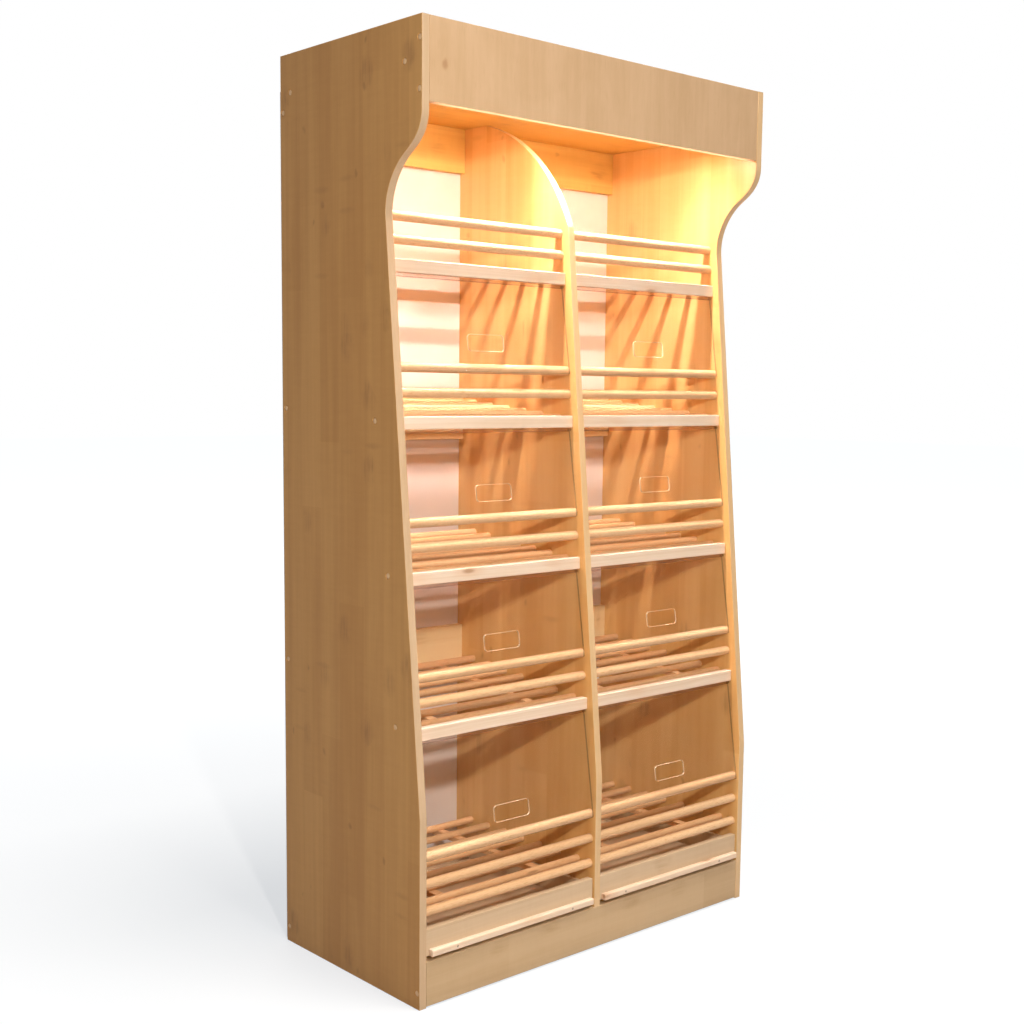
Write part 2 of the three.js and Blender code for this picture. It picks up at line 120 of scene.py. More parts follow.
def eased_ends(start, end, ease, steps=4):
    """Places along a length and how far the section is drawn in there: a quarter circle of radius ease at
    each end, and one more place just past it that keeps the long faces even."""
    turn = np.linspace(0, np.pi / 2, steps)
    run = np.append(ease * (1 - np.cos(turn)), 1.6 * ease)
    drawn = np.append(ease * (1 - np.sin(turn)), 0.0)
    drawn[-2] = 0.0
    return np.concatenate([start + run, end - run[::-1]]), np.concatenate([drawn, drawn[::-1]])


def sweep(rings, inset, flat=()):
    """Close a row of rings into a solid: quads between neighbours and one face over each end ring.
    Columns named flat are shaded flat where the section isn't drawn in."""
    rows, cols = rings.shape[:2]
    smooth = np.ones((rows - 1, cols), bool)
    level = (inset[1:] == 0) & (inset[:-1] == 0)
    smooth[np.ix_(level, np.array(flat, int))] = False
    ends = np.stack([np.arange(cols)[::-1], np.arange(cols) + (rows - 1) * cols])
    return rings.reshape(-1, 3), [(quads(rows, cols), smooth.ravel(), 0), (ends, np.zeros(2, bool), 0)]


def board(low, high, axis, ease=0.9, radii=None):
    """A planed board: a rectangle with rounded corners carried along one axis, eased at both ends.
    A section point is its corner's centre plus the corner radius, less the inset, times a unit direction.
    The radii go round from the corner at the high ends of both section axes."""
    low, high = np.array(low, float), np.array(high, float)
    b, c = (axis + 1) % 3, (axis + 2) % 3
    place, inset = eased_ends(low[axis], high[axis], ease)
    radius = np.array(radii or [1.25 * ease] * 4)[:, None, None]
    turn = np.arange(4)[:, None] * (np.pi / 2) + np.linspace(0, np.pi / 2, 4)[None]
    way = np.stack([np.cos(turn), np.sin(turn)], -1)
    corner = np.array([(1, 1), (-1, 1), (-1, -1), (1, -1)])[:, None]
    hub = corner * ((high - low)[[b, c]] / 2 - radius) + (high + low)[[b, c]] / 2
    section = (hub + radius * way).reshape(1, -1, 2) - inset[:, None, None] * way.reshape(1, -1, 2)
    rings = np.empty(section.shape[:2] + (3,))
    rings[..., axis] = place[:, None]
    rings[..., b] = section[..., 0]
    rings[..., c] = section[..., 1]
    return sweep(rings, inset, (3, 7, 11, 15))


def round_bar(low, high, y, z, radius, ease=1.0, sides=40):
    """A round bar along x: a circle carried from low to high, drawn in by a quarter circle at both ends."""
    place, inset = eased_ends(low, high, ease)
    turn = np.linspace(0, 2 * np.pi, sides, endpoint=False)
    reach = (radius - inset)[:, None]
    x = place[:, None] + 0 * turn
    return sweep(np.stack([x, y + reach * np.cos(turn), z + reach * np.sin(turn)], -1), inset)


def half_round(low, high, y, z, radius, ease=1.5, sides=24):
    """A half-round moulding along x, flat side up: a half circle below its middle carried from low to
    high."""
    place, inset = eased_ends(low, high, ease)
    turn = np.linspace(np.pi, 2 * np.pi, sides)
    reach = (radius - inset)[:, None]
    x = place[:, None] + 0 * turn
    rings = np.stack([x, y + reach * np.cos(turn), z + reach * np.sin(turn)], -1)
    return sweep(rings, inset, (sides - 1,))


def dome(centre, axis, side, radius, height, sides=20):
    """A low round head: a quarter ellipse turned about one axis, from its rim up to a small flat crown."""
    crown = 1.3
    rise = np.linspace(0, crown, 6)[::side]
    turn = np.linspace(0, 2 * np.pi, sides, endpoint=False)
    b, c = (axis + 1) % 3, (axis + 2) % 3
    reach = (radius * np.cos(rise))[:, None]
    rings = np.empty((len(rise), sides, 3))
    rings[..., axis] = centre[axis] + (side * height * np.sin(rise) / np.sin(crown))[:, None]
    rings[..., b] = centre[b] + reach * np.cos(turn)
    rings[..., c] = centre[c] + reach * np.sin(turn)
    return sweep(rings, np.ones(len(rise)))


def mitres(loop):
    """How a closed outline's corners move when its sides move out by one: the sum of the two side normals,
    over one plus their dot product."""
    side = np.roll(loop, -1, 0) - loop
    side /= np.linalg.norm(side, axis=1, keepdims=True)
    out = np.stack([side[:, 1], -side[:, 0]], 1)
    last = np.roll(out, 1, 0)
    return (out + last) / (1 + (out * last).sum(1, keepdims=True))


def circle(y, z, radius, sides):
    """A ring round (y, z), turning clockwise, so that a wall carried along it faces the middle."""
    turn = np.linspace(0, -2 * np.pi, sides, endpoint=False)
    return np.stack([y + radius * np.cos(turn), z + radius * np.sin(turn)], 1)


def slab(low, high, loop, curved, ease, low_seats=(), high_seats=(), through=(), bevel=0.5):
    """A board of any outline between two faces across x: the outline carried over the thickness, drawn in by
    a quarter circle at both faces. A seat is (ring, depth), sunk from one face, and a ring under through
    goes right across and opens out by the bevel at both faces. The faces are filled with triangles round the
    mouths. Skin 0 is the faces and rim, skin 1 the outline's edge, skin 2 the walls of the rings under
    through."""
    place, inset = eased_ends(low, high, ease)
    flat = loop[None] - inset[:, None, None] * mitres(loop)[None]
    rings = np.concatenate([place[:, None, None] + 0 * flat[..., :1], flat], -1)
    rows, cols = rings.shape[:2]
    smooth = np.ones((rows - 1, cols), bool)
    level = (inset[1:] == 0) & (inset[:-1] == 0)
    smooth[np.ix_(level, ~curved)] = False
    points = [rings.reshape(-1, 3)]
    groups = [(quads(rows, cols), smooth.ravel(), 1)]
    mouths = ([np.arange(cols)], [np.arange(cols) + (rows - 1) * cols])
    count = rows * cols
    cuts = [(low, low + depth, ring, (0,)) for ring, depth in low_seats]
    cuts += [(high - depth, high, ring, (1,)) for ring, depth in high_seats]
    cuts += [(low, high, ring, (0, 1)) for ring in through]
    for start, end, ring, opens in cuts:
        n = len(ring)
        steps = [(start, 0), (end, 0)]
        if len(opens) == 2:
            steps = [(start, bevel), (start + bevel, 0), (end - bevel, 0), (end, bevel)]
        slope = mitres(ring)
        wall = np.concatenate([np.column_stack([np.full(n, x), ring - wide * slope]) for x, wide in steps])
        first, last = np.arange(n) + count, np.arange(n) + count + len(wall) - n
        points.append(wall)
        kind = 2 if len(opens) == 2 else 0
        groups.append((quads(len(steps), n) + count, np.ones(len(wall) - n, bool), kind))
        if 0 in opens:
            mouths[0].append(first)
        else:
            groups.append((first[None, ::-1], np.zeros(1, bool), 0))
        if 1 in opens:
            mouths[1].append(last)
        else:
            groups.append((last[None], np.zeros(1, bool), 0))
        count += len(wall)
    points = np.concatenate(points)
    for facing, rims in zip((-1, 1), mouths):
        loops = [points[rim][:, [1, 2, 1]] * (1, 1, 0) for rim in rims]
        tris = np.concatenate(rims)[np.array(tessellate_polygon([ring.tolist() for ring in loops]))]
        (y0, z0), (y1, z1), (y2, z2) = np.moveaxis(points[tris][..., 1:], (1, 2), (0, 1))
        turned = ((y1 - y0) * (z2 - z0) - (z1 - z0) * (y2 - y0)) * facing < 0
        tris[turned] = tris[turned][:, ::-1]
        groups.append((tris, np.zeros(len(tris), bool), 0))
    return points, groups


def tilted(shell, y, z, angle):
    """The same skin turned about the line along x through (y, z)."""
    points, groups = shell
    dy, dz = points[:, 1] - y, points[:, 2] - z
    cos, sin = math.cos(angle), math.sin(angle)
    return np.stack([points[:, 0], y + dy * cos - dz * sin, z + dy * sin + dz * cos], 1), groups


def make_piece(name, shells, finishes, body="rack", stands_for=()):
    """Join closed skins into one mesh in the row frame, give it its finishes and hang it on its body."""
    faces, smooth, skin, base = [], [], [], 0
    for points, groups in shells:
        for corners, soft, kind in groups:
            faces += (corners + base).tolist()
            smooth.append(soft)
            skin.append(np.full(len(corners), min(kind, len(finishes) - 1)))
        base += len(points)
    points = (np.concatenate([points for points, _ in shells]) + (0, FRONT, 0)) * MM
    mesh = bpy.data.meshes.new(name)
    mesh.from_pydata(points.tolist(), [], faces)
    mesh.polygons.foreach_set("use_smooth", np.concatenate(smooth))
    mesh.polygons.foreach_set("material_index", np.concatenate(skin).astype(np.int32))
    for finish in finishes:
        mesh.materials.append(finish)
    mesh.update()
    piece = bpy.data.objects.new(name, mesh)
    bpy.context.scene.collection.objects.link(piece)
    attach(piece, body)
    if stands_for:
        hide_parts(*stands_for)


# Finishes

def paint(code):
    """A colour written as six hex digits, turned into the linear values that shaders use."""
    tone = np.array(list(bytes.fromhex(code))) / 255
    return (*np.where(tone <= 0.04045, tone / 12.92, ((tone + 0.055) / 1.055) ** 2.4).tolist(), 1.0)


class Wire:
    """A socket that takes part in sums: each operator adds one Math node."""

    def __init__(self, finish, socket):
        self.finish, self.socket = finish, socket

    def sum(self, operation, *terms):
        return self.finish.node("ShaderNodeMath", {"operation": operation}, dict(enumerate(terms)))

    def __add__(self, other):
        return self.sum("ADD", self, other)

    def __radd__(self, other):
        return self.sum("ADD", other, self)

    def __sub__(self, other):
        return self.sum("SUBTRACT", self, other)

    def __rsub__(self, other):
        return self.sum("SUBTRACT", other, self)

    def __mul__(self, other):
        return self.sum("MULTIPLY", self, other)

    def __rmul__(self, other):
        return self.sum("MULTIPLY", other, self)

    def __abs__(self):
        return self.sum("ABSOLUTE", self)

    def __gt__(self, other):
        return self.sum("GREATER_THAN", self, other)

    def __lt__(self, other):
        return self.sum("LESS_THAN", self, other)

    def floor(self):
        return self.sum("FLOOR", self)

    def rise(self, low, high):
        """Zero at low and one at high, with a smooth step between."""
        return self.finish.node("ShaderNodeMapRange", {"interpolation_type": "SMOOTHSTEP"},
                                {"Value": self, "From Min": low, "From Max": high})


class Finish:
    """A finish being mixed in a new material, or in the world given: nodes are added one by one."""

    def __init__(self, name, holder=None):
        self.holder = holder or bpy.data.materials.new(name)
        self.holder.use_nodes = True
        self.tree = self.holder.node_tree
        self.tree.nodes.clear()

    def node(self, kind, settings=None, sockets=None, out=0):
        """Add a node of any kind: its settings first, then its sockets' values or links. Gives one output."""
        node = self.tree.nodes.new(kind)
        for key, value in (settings or {}).items():
            setattr(node, key, value)
        for key, value in (sockets or {}).items():
            if isinstance(value, Wire):
                self.tree.links.new(value.socket, node.inputs[key])
            else:
                node.inputs[key].default_value = value
        return Wire(self, node.outputs[out]) if node.outputs else None

    def axes(self, output="Object"):
        """The three coordinates of a point, or of its normal, in the piece's own space."""
        place = self.node("ShaderNodeTexCoord", out=output)
        return [self.node("ShaderNodeSeparateXYZ", None, {0: place}, axis) for axis in range(3)]

    def stretch(self, axes, scales):
        """A pattern coordinate: each axis times its own scale."""
        return self.node("ShaderNodeCombineXYZ", None,
                         {i: axis * scale for i, (axis, scale) in enumerate(zip(axes, scales))})

    def noise(self, axes, scales, detail=2.0, rough=0.5, twist=0.0):
        """Soft noise from 0 to 1 with its own grain size along each axis, in grains per metre."""
        return self.node("ShaderNodeTexNoise", None,
                         {"Vector": self.stretch(axes, scales), "Scale": 1.0, "Detail": detail,
                          "Roughness": rough, "Distortion": twist})

    def chance(self, first, second):
        """A value from 0 to 1 drawn at random for each pair of whole numbers."""
        pair = self.node("ShaderNodeCombineXYZ", None, {0: first, 1: second})
        return self.node("ShaderNodeTexWhiteNoise", {"noise_dimensions": "2D"}, {"Vector": pair})

    def spots(self, axes, scales, size, share):
        """Scattered soft spots: near the middle of a cell, in that share of the cells."""
        at = self.stretch(axes, scales)
        far = self.node("ShaderNodeTexVoronoi", None, {"Vector": at, "Scale": 1.0}, "Distance")
        cell = self.node("ShaderNodeTexVoronoi", None, {"Vector": at, "Scale": 1.0}, "Color")
        chance = self.node("ShaderNodeSeparateColor", None, {0: cell})
        return (1 - far.rise(0.25 * size, size)) * (chance < share)

    def mix(self, share, first, second):
        """Two colours mixed by a share."""
        return self.node("ShaderNodeMix", {"data_type": "RGBA", "clamp_factor": True},
                         {0: share, 6: first, 7: second}, 2)

    def length(self, axes, scales):
        """How far a point is from the origin, each axis times its own scale."""
        place = self.stretch(axes, scales)
        return self.node("ShaderNodeVectorMath", {"operation": "LENGTH"}, {0: place}, "Value")

    def bump(self, height, depth):
        """A normal bent by a height pattern of that depth in metres."""
        return self.node("ShaderNodeBump", None, {"Height": height, "Distance": depth, "Strength": 1.0})

    def done(self, **sockets):
        """End in a Principled shader. A word's underscore stands for a space in the socket's name."""
        names = {key.replace("_", " "): value for key, value in sockets.items()}
        return self.end(self.node("ShaderNodeBsdfPrincipled", None, names))

    def end(self, shader, kind="ShaderNodeOutputMaterial"):
        """Join a shader to the tree's output."""
        self.node(kind, None, {"Surface": shader})
        return self.holder


def maple(name, grain, tones, band=None, gloss=0.22):
    """Satin maple-pattern laminate: staves of different tone butted end to end, long streaks, fine fibres, a
    faint ripple across the grain, eyes made of short strokes and soft cross marks. A board with a band has a
    plain paler strip of those two tones on its narrow edges, and gloss is the level of its shine."""
    f = Finish(name)
    x, y, z = f.axes()
    wood = (y, x, z) if grain == "z" else (z, y, x)
    drift = f.noise(wood, (7, 0, 0), 1.0)
    stave = (13 * (wood[0] + 0.37 * wood[1]) + 2.2 * drift).floor()
    block = (1.6 * wood[2] + 6 * f.chance(stave, 0.5)).floor()
    tone = f.chance(stave, block)
    streak = f.noise(wood, (36, 36, 0.9), 4.0, 0.62)
    broad = f.noise(wood, (11, 11, 1.6), 3.0, 0.55, 0.4)
    fibre = f.noise(wood, (430, 430, 7), 2.0, 0.6)
    ripple = f.noise(wood, (14, 14, 85), 2.0, 0.6, 0.5)
    figure = 0.30 * (tone - 0.5) + 0.80 * (streak - 0.5) + 0.70 * (broad - 0.5) + 0.16 * (ripple - 0.5)
    wander = f.noise(wood, (31, 31, 26), 2.0, 0.6)
    smudge = [axis + 0.024 * (wander - 0.5) for axis in wood]
    strokes = f.noise(wood, (150, 150, 11), 2.0, 0.6).rise(0.38, 0.66)
    eye = f.spots(smudge, (14, 14, 10), 0.42, 0.22) * (0.30 + 0.70 * strokes)
    speck = f.spots(smudge, (33, 33, 21), 0.24, 0.08)
    dash = f.spots([axis + 0.006 * (wander - 0.5) for axis in wood], (11, 11, 44), 0.42, 0.06)
    marks = 0.42 * eye + 0.34 * speck + 0.17 * dash
    tone = 0.5 + figure + 0.20 * (fibre - 0.5)
    colour = f.mix(tone.rise(0.1, 0.9), paint(tones[0]), paint(tones[1]))
    colour = f.mix(marks * (0.35 + 1.1 * wander), colour, paint(tones[2]))
    if band:
        face = abs(f.axes("Normal")[0]) > 0.5
        plain = 0.5 + 0.8 * (streak - 0.5) + 0.4 * (fibre - 0.5)
        strip = f.mix(plain.rise(0.1, 0.9), paint(band[0]), paint(band[1]))
        colour = f.mix(face, strip, colour)
    return f.done(Base_Color=colour, Roughness=0.40 + 0.12 * (streak - 0.5) + 0.05 * fibre,
                  Specular_IOR_Level=gloss, Normal=f.bump(fibre + 0.6 * streak, 0.0001))


def birch():
    """Sanded birch plywood: a pale pinkish ground with clouds, faint upright streaks, pin knots and one
    larger knot near the left end."""
    f = Finish("birch_plywood")
    x, y, z = f.axes()
    wood = (x, y, z)
    cloud = f.noise(wood, (8, 8, 4.0), 3.0, 0.55, 0.8)
    streak = f.noise(wood, (70, 70, 4.0), 3.0, 0.6, 0.2)
    fleck = f.noise(wood, (520, 520, 30), 1.0, 0.5)
    pin = f.spots(wood, (12, 12, 9), 0.10, 0.22)
    dash = f.spots([axis + 0.3 for axis in wood], (30, 30, 12), 0.15, 0.10)
    wander = 0.010 * (f.noise(wood, (40, 40, 40), 2.0) - 0.5)
    knot_x, knot_z = -0.445, 1.847
    off = f.length((x - knot_x + wander, z - knot_z - wander, x), (1.7, 1, 0))
    knot = 1 - off.rise(0.003, 0.016)
    tone = 0.5 + 0.75 * (cloud - 0.5) + 0.45 * (streak - 0.5) - 0.16 * fleck.rise(0.58, 0.74)
    colour = f.mix(tone.rise(0.1, 0.9), paint("c5a27b"), paint("d7b590"))
    colour = f.mix(0.45 * pin + 0.35 * dash + 0.55 * knot, colour, paint("a3744a"))
    return f.done(Base_Color=colour, Roughness=0.52 + 0.12 * (cloud - 0.5), Specular_IOR_Level=0.22,
                  Normal=f.bump(fleck + 0.5 * streak, 0.00012))


def softwood():
    """Planed pale softwood, grain along x: soft growth bands, fine lines and a few tan knots."""
    f = Finish("pale_softwood")
    x, y, z = f.axes()
    wood = (x, y, z)
    bend = f.noise(wood, (2.2, 18, 18), 2.0)
    rings = f.noise((x, y + 0.01 * bend, z + 0.02 * bend), (1.6, 190, 190), 2.0, 0.55)
    fibre = f.noise(wood, (16, 900, 900), 2.0, 0.6)
    blush = f.noise(wood, (5, 14, 14), 2.0)
    knot = f.spots(wood, (8.5, 26, 26), 0.2, 0.32)
    halo = f.spots(wood, (8.5, 26, 26), 0.5, 0.32)
    tone = 0.5 + 0.75 * (rings - 0.5) + 0.4 * (blush - 0.5) + 0.3 * (fibre - 0.5)
    colour = f.mix(tone.rise(0.1, 0.9), paint("e6c8a9"), paint("f9e4d0"))
    colour = f.mix(0.30 * halo, colour, paint("dda678"))
    colour = f.mix(0.62 * knot, colour, paint("a76f41"))
    return f.done(Base_Color=colour, Roughness=0.46 + 0.14 * (rings - 0.5), Specular_IOR_Level=0.25,
                  Normal=f.bump(rings + 0.5 * fibre, 0.0002))


def beech(name, tones):
    """Turned beech under clear lacquer, grain along x: long soft streaks and many short dark flecks."""
    f = Finish(name)
    x, y, z = f.axes()
    wood = (x, y, z)
    piece = f.noise(wood, (0.9, 13, 13), 1.0)
    streak = f.noise(wood, (2.4, 120, 120), 3.0, 0.6)
    fleck = f.noise(wood, (75, 850, 850), 1.0, 0.5)
    mark = f.spots(wood, (6.0, 40, 40), 0.16, 0.12)
    tone = 0.5 + 0.75 * (piece - 0.5) + 0.6 * (streak - 0.5) - 0.4 * fleck.rise(0.55, 0.72)
    colour = f.mix(tone.rise(0.1, 0.9), paint(tones[0]), paint(tones[1]))
    colour = f.mix(0.5 * mark, colour, paint("98602f"))
    return f.done(Base_Color=colour, Roughness=0.36 + 0.14 * (streak - 0.5), Specular_IOR_Level=0.28,
                  Normal=f.bump(streak - 0.4 * fleck, 0.00015))


def white_back():
    """White coated hardboard with a faint mottle, bare on the rear: brown pressed fibres show there."""
    f = Finish("white_back_sheet")
    wood = f.axes()
    mottle = f.noise(wood, (7, 7, 7), 3.0, 0.6)
    peel = f.noise(wood, (420, 420, 420), 1.0)
    white = f.mix(mottle.rise(0.25, 0.75), paint("f1e5de"), paint("f8ede6"))
    rear = f.axes("Normal")[1] > 0.5
    fibre = f.noise(wood, (160, 160, 160), 4.0, 0.75)
    cloud = f.noise(wood, (5, 5, 5), 2.0)
    brown = f.mix((0.7 * fibre + 0.3 * cloud).rise(0.3, 0.7), paint("8a6238"), paint("b48a5a"))
    return f.done(Base_Color=f.mix(rear, white, brown), Roughness=0.38 + 0.12 * (mottle - 0.5) + 0.35 * rear,
                  Normal=f.bump(peel, 0.00006))


def acrylic(name, tint, cover, glint, wiped):
    """Clear acrylic: it covers little of what is behind it, more where it is seen at a low angle, a painted
    reflection in the sheet's tint, with faint haze left by wiping."""
    f = Finish(name)
    wood = f.axes()
    haze = f.noise(wood, (6, 6, 22), 3.0, 0.6, 0.5)
    slant = f.node("ShaderNodeLayerWeight", None, {"Blend": 0.25}, "Fresnel")
    colour = f.mix(wiped * haze.rise(0.3, 0.8), paint(tint), paint("f4eee4"))
    return f.done(Base_Color=colour, Roughness=0.05 + 0.10 * haze.rise(0.45, 0.8),
                  Alpha=cover + 0.03 * wiped * haze + glint * slant, IOR=1.49)


def lamp_coat():
    """White powder coat on the lamp's housing: faint orange peel and a little dust."""
    f = Finish("white_powder_coat")
    wood = f.axes()
    dust = f.noise(wood, (14, 30, 30), 3.0, 0.6)
    peel = f.noise(wood, (600, 600, 600), 1.0)
    colour = f.mix(dust.rise(0.3, 0.8), paint("efeae0"), paint("dfd8ca"))
    return f.done(Base_Color=colour, Roughness=0.4 + 0.15 * dust, Normal=f.bump(peel, 0.00008))


def opal():
    """Opal diffuser, lit from inside: brightest along its middle, dimmer towards the ends."""
    f = Finish("opal_diffuser")
    x, y, z = f.axes()
    end = abs(x).rise(0.36, 0.435)
    cell = f.noise((x, y, z), (26, 4, 4), 1.0)
    glow = f.mix((0.75 * end + 0.25 * cell).rise(0.0, 1.0), paint("ffe7bd"), paint("ffc27a"))
    return f.done(Base_Color=f.mix(cell, paint("f7efe0"), paint("efe2cc")), Roughness=0.35 + 0.1 * cell,
                  Emission_Color=glow, Emission_Strength=2.5)


def cap_cover():
    """Moulded plastic screw cover in the laminate's colour, with fine specks and a painted highlight: lighter
    where its face turns straight out from the panel.
    """
    f = Finish("screw_cover")
    wood = f.axes()
    speck = f.noise(wood, (260, 260, 260), 2.0, 0.6)
    # Painted highlight: lighter as the face turns straight out along x.
    crown = abs(f.axes("Normal")[0]).rise(0.55, 1.0)
    colour = f.mix((0.6 * crown + 0.4 * speck).rise(0.1, 0.9), paint("c59a66"), paint("ecc798"))
    return f.done(Base_Color=colour, Roughness=0.34 + 0.1 * speck, Normal=f.bump(speck, 0.00005))


def screw_steel():
    """Zinc-plated screw head, slightly stained."""
    f = Finish("zinc_screw")
    wood = f.axes()
    stain = f.noise(wood, (500, 500, 500), 3.0, 0.7)
    colour = f.mix(stain.rise(0.3, 0.7), paint("a88c74"), paint("c9b09a"))
    return f.done(Base_Color=colour, Roughness=0.4 + 0.25 * stain, Metallic=0.1,
                  Normal=f.bump(stain, 0.00003))


# One maple laminate in six tones, each set for the light its pieces get: painted shade on the left panel and
# the front plinth, painted light on the divider and right panel, on the ceiling, rails, bottom panel and rear
# plinth, and a tone of its own set for the light on the drawer fronts and trays.
MAPLE_LEFT_SHADE_TONE = maple("maple_left_shade_tone", "z", ("c89355", "deac6c", "8a5a34"), ("c6a682", "d7ba98"))
MAPLE_UPRIGHT_LIT_TONE = maple("maple_upright_lit_tone", "z", ("dfab66", "efc582", "a06c3d"), ("d3ac79", "e5c191"), 0.7)
MAPLE_RAIL_LAMP_TONE = maple("maple_rail_lamp_tone", "x", ("d5a85a", "e8c270", "986a38"))
MAPLE_PALE_LIT_TONE = maple("maple_pale_lit_tone", "x", ("eac78e", "f6dbaa", "b98d5c"))
MAPLE_LEVEL_LIGHT_TONE = maple("maple_level_light_tone", "x", ("cbae8c", "dbc2a2", "b08c63"))
MAPLE_PLINTH_SHADE_TONE = maple("maple_plinth_shade_tone", "x", ("c2a37c", "d1b58f", "ad885c"))
BIRCH = birch()
SOFTWOOD = softwood()
# The grid dowels take a paler copy of the rods' beech: painted light over the shade they sit in.
BEECH = beech("beech_rod", ("d8a878", "f2cda2"))
BEECH_DOWEL_LIT_TONE = beech("beech_dowel_lit_tone", ("e6b07c", "f8d3a4"))
WHITE_BACK = white_back()
# Clear acrylic in four finishes: the plain faces; the outline's edge tinted dark brown, a painted dark line
# along the edge; the grip's walls pale cream, a painted highlight; and the barrel tinted brown.
ACRYLIC = (acrylic("clear_acrylic", "6d6358", 0.010, 0.012, 0.4),
           acrylic("clear_acrylic_painted_dark_edge", "57412c", 0.34, 0.10, 0.1),
           acrylic("clear_acrylic_painted_highlight_rim", "ffe9c8", 0.50, 0.06, 0.1),
           acrylic("clear_acrylic_barrel", "a8642c", 0.20, 0.02, 0.05))
LAMP_COAT = lamp_coat()
OPAL = opal()
CAP_COVER = cap_cover()
SCREW = screw_steel()


# Carcass

def cubic(a, b, c, d, steps):
    """Points of a cubic curve: its four control points weighted by the Bernstein terms of t."""
    t = np.linspace(0, 1, steps)[:, None]
    a, b, c, d = (np.array(p, float) for p in (a, b, c, d))
    return (1 - t) ** 3 * a + 3 * (1 - t) ** 2 * t * b + 3 * (1 - t) * t ** 2 * c + t ** 3 * d


def side_outline():
    """Side panel's outline in depth and height: two cubics make the S-curve under the header. They meet at
    the bend and share its direction."""
    fall = math.radians(34)
    along = np.array((math.cos(fall), -math.sin(fall)))
    bend = np.array((56.0, 1683.0))
    shoulder, foot_z = 1760.0, 1566.0
    foot = np.array((front_edge(foot_z), foot_z))
    upper = cubic((0, shoulder), (0, shoulder - 45), bend - 25 * along, bend, 22)
    lower = cubic(bend, bend + 36 * along, foot + 55 * np.array((LEAN, 1)), foot, 26)
    corners = [(0, 0), (PANEL_D, 0), (PANEL_D, HEIGHT), (0, HEIGHT)]
    loop = np.concatenate([corners, upper, lower[1:], [(0, KINK_Z)]])
    curved = np.zeros(len(loop), bool)
    curved[len(corners):-2] = True
    return loop, curved


def divider_outline():
    """Divider's outline: the front edge leans as on the side panels, and a circle's arc runs from it to the
    ceiling. The arc's radius comes from its chord and its rise over the chord."""
    base, head, bulge = 96.3, 1840.7, 44.0
    foot_z, top_back = 1592.0, 92.0
    foot, top = np.array((front_edge(foot_z), foot_z)), np.array((PANEL_D - top_back, head))
    chord = top - foot
    length = np.linalg.norm(chord)
    radius = (length ** 2 / 4 + bulge ** 2) / (2 * bulge)
    normal = np.array((-chord[1], chord[0])) / length
    centre = (foot + top) / 2 + normal * (bulge - radius)
    start, end = (math.atan2(p[1] - centre[1], p[0] - centre[0]) for p in (top, foot))
    turn = np.linspace(start, end, 48)
    arc = centre + radius * np.stack([np.cos(turn), np.sin(turn)], 1)
    corners = [(0, base), (PANEL_D, base), (PANEL_D, head)]
    loop = np.concatenate([corners, arc, [(0, KINK_Z)]])
    curved = np.zeros(len(loop), bool)
    curved[len(corners):-2] = True
    return loop, curved


rod_rings = [circle(y, z, ROD_HOLE_R, 36) for y, z in ALL_RODS]
pin_rings = [circle(y, z, PIN_HOLE_R, 20) for y, z in PIVOTS]
pin_seats = [(ring, PIN_SEAT) for ring in pin_rings]
inner_seats = [(ring, ROD_SEAT) for ring in rod_rings] + pin_seats
cap_seats = [(circle(y, z, CAP_SEAT_R, 24), CAP_SEAT) for y, z in CAP_PLACES]

for label, side in SIDES:
    if side < 0:
        skin = slab(-OUTER, -INNER, *side_outline(), EDGE_EASE, cap_seats, inner_seats)
    else:
        skin = slab(INNER, OUTER, *side_outline(), EDGE_EASE, inner_seats, cap_seats)
    # The left panel takes the laminate's painted-shade tone and the right one its painted-light tone.
    make_piece(f"side_panel_{label}_board", [skin], [MAPLE_LEFT_SHADE_TONE if side < 0 else MAPLE_UPRIGHT_LIT_TONE],
               stands_for=[f"side_panel_{label}"])
    caps = [dome((side * (OUTER - CAP_SEAT), y, z), 0, side, CAP_R, CAP_SEAT) for y, z in CAP_PLACES]
    make_piece(f"screw_covers_{label}", caps, [CAP_COVER])

divider = slab(-DIVIDER_HALF, DIVIDER_HALF, *divider_outline(), EDGE_EASE, pin_seats, pin_seats, rod_rings)
make_piece("centre_divider_board", [divider], [MAPLE_UPRIGHT_LIT_TONE], stands_for=["centre_divider"])

fascia = board((-FASCIA_HALF, 0, FASCIA_FOOT), (FASCIA_HALF, FASCIA_D, HEIGHT), 0, EDGE_EASE)
make_piece("header_fascia_board", [fascia], [BIRCH], stands_for=["header_fascia"])


def node_span(node):
    """A CAD node's two corners in mm from the front plane."""
    return [np.array(corner) / MM - (0, FRONT, 0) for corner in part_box(node)]


rail_nodes = [f"back_rail_{row}_{label}" for row in ("top", "middle", "lower") for label, _ in SIDES]
# Each takes a laminate tone with painted light in it: the lamp-lit tone on the ceiling, top rails, bottom
# panel and rear plinth, a paler lit tone on the middle and lower rails, and a painted-shade tone on the front
# plinth.
for node in ["ceiling_panel", "plinth_front", "plinth_rear", "bottom_panel", *rail_nodes]:
    finish = MAPLE_RAIL_LAMP_TONE
    if node == "plinth_front":
        finish = MAPLE_PLINTH_SHADE_TONE
    if "middle" in node or "lower" in node:
        finish = MAPLE_PALE_LIT_TONE
    plank = board(*node_span(node), 0, RAIL_EASE)
    make_piece(f"{node}_board", [plank], [finish], stands_for=[node])

housing = board(*node_span("lamp_housing"), 0, HOUSING_EASE)
make_piece("lamp_housing_profile", [housing], [LAMP_COAT], stands_for=["lamp_housing"])
diffuser = half_round(-LAMP_HALF, LAMP_HALF, LAMP_Y, LAMP_Z, LAMP_R)
make_piece("lamp_diffuser_profile", [diffuser], [OPAL], stands_for=["lamp_diffuser"])


# Shelves

